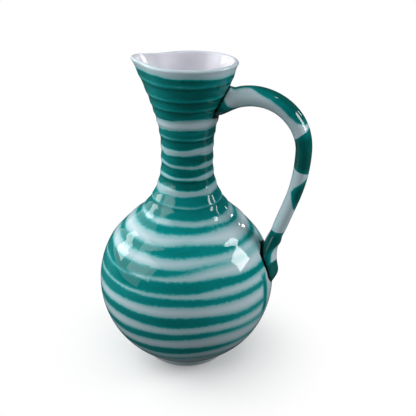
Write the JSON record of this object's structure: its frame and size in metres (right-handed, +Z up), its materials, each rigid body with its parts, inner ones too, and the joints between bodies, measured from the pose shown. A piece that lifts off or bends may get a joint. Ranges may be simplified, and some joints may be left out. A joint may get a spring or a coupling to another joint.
{
  "type": "ceramic pouring jug",
  "caption": "Round-bellied ceramic pouring jug with a turned foot ring, a narrow neck, a flared mouth pinched into a spout and a tall pulled loop handle.",
  "frame": {"origin": "centre of the foot ring's standing face, on the axis of throwing", "axes": "+Z up along the axis of throwing, +X towards the handle, -X towards the spout"},
  "size_m": [0.1595, 0.136, 0.2377],
  "materials": {
    "foot_glaze": "white gloss glaze, wiped where it stands",
    "banded_glaze": "white gloss glaze with green bands",
    "handle_glaze": "white gloss glaze with green patches",
    "joint_glaze": "pooled green gloss glaze"
  },
  "bodies": {
    "root": {"foot_ring": "foot_glaze", "belly": "banded_glaze", "neck": "banded_glaze", "mouth": "banded_glaze", "handle": "handle_glaze", "upper_handle_joint": "joint_glaze", "lower_handle_joint": "joint_glaze"}
  },
  "joints": []
}
